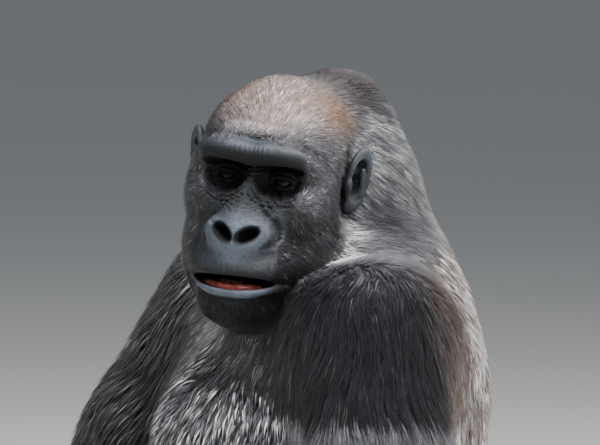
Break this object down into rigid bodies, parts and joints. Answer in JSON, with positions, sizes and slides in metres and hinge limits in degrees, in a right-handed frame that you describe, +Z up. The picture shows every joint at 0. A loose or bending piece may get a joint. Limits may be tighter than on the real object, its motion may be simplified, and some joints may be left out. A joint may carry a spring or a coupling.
{
  "type": "gorilla",
  "caption": "Adult gorilla sitting on its rump, hands and feet on the floor, head turned to its left; a still life-size display model.",
  "frame": {"origin": "on the floor, under the middle of the bounding box", "axes": "+Z up; the trunk faces -Y and the animal's own left is +X"},
  "size_m": [0.7678, 0.7156, 0.8042],
  "materials": {
    "bare_skin": "bare blue-grey skin, slightly shiny",
    "crown_coat": "short brown hair",
    "grey_coat": "grizzled grey hair",
    "black_coat": "long black hair",
    "brown_coat": "long brown-black hair",
    "eye": "wet, glossy",
    "tongue": "moist",
    "tooth": "smooth enamel"
  },
  "bodies": {
    "root": {"face": "bare_skin", "skull": "crown_coat", "jaw": "bare_skin", "eye_left": "eye", "ear_left": "bare_skin", "eye_right": "eye", "ear_right": "bare_skin", "lower_teeth": "tooth", "tongue": "tongue", "neck": "grey_coat", "chest": "grey_coat", "abdomen": "black_coat", "upper_arm_left": "black_coat", "forearm_left": "brown_coat", "palm_left": "bare_skin", "index_finger_left": "bare_skin", "middle_finger_left": "bare_skin", "ring_finger_left": "bare_skin", "little_finger_left": "bare_skin", "thumb_left": "bare_skin", "thigh_left": "black_coat", "shin_left": "black_coat", "foot_left": "bare_skin", "big_toe_left": "bare_skin", "second_toe_left": "bare_skin", "third_toe_left": "bare_skin", "fourth_toe_left": "bare_skin", "fifth_toe_left": "bare_skin", "upper_arm_right": "black_coat", "forearm_right": "brown_coat", "palm_right": "bare_skin", "index_finger_right": "bare_skin", "middle_finger_right": "bare_skin", "ring_finger_right": "bare_skin", "little_finger_right": "bare_skin", "thumb_right": "bare_skin", "thigh_right": "black_coat", "shin_right": "black_coat", "foot_right": "bare_skin", "big_toe_right": "bare_skin", "second_toe_right": "bare_skin", "third_toe_right": "bare_skin", "fourth_toe_right": "bare_skin", "fifth_toe_right": "bare_skin"}
  },
  "joints": []
}
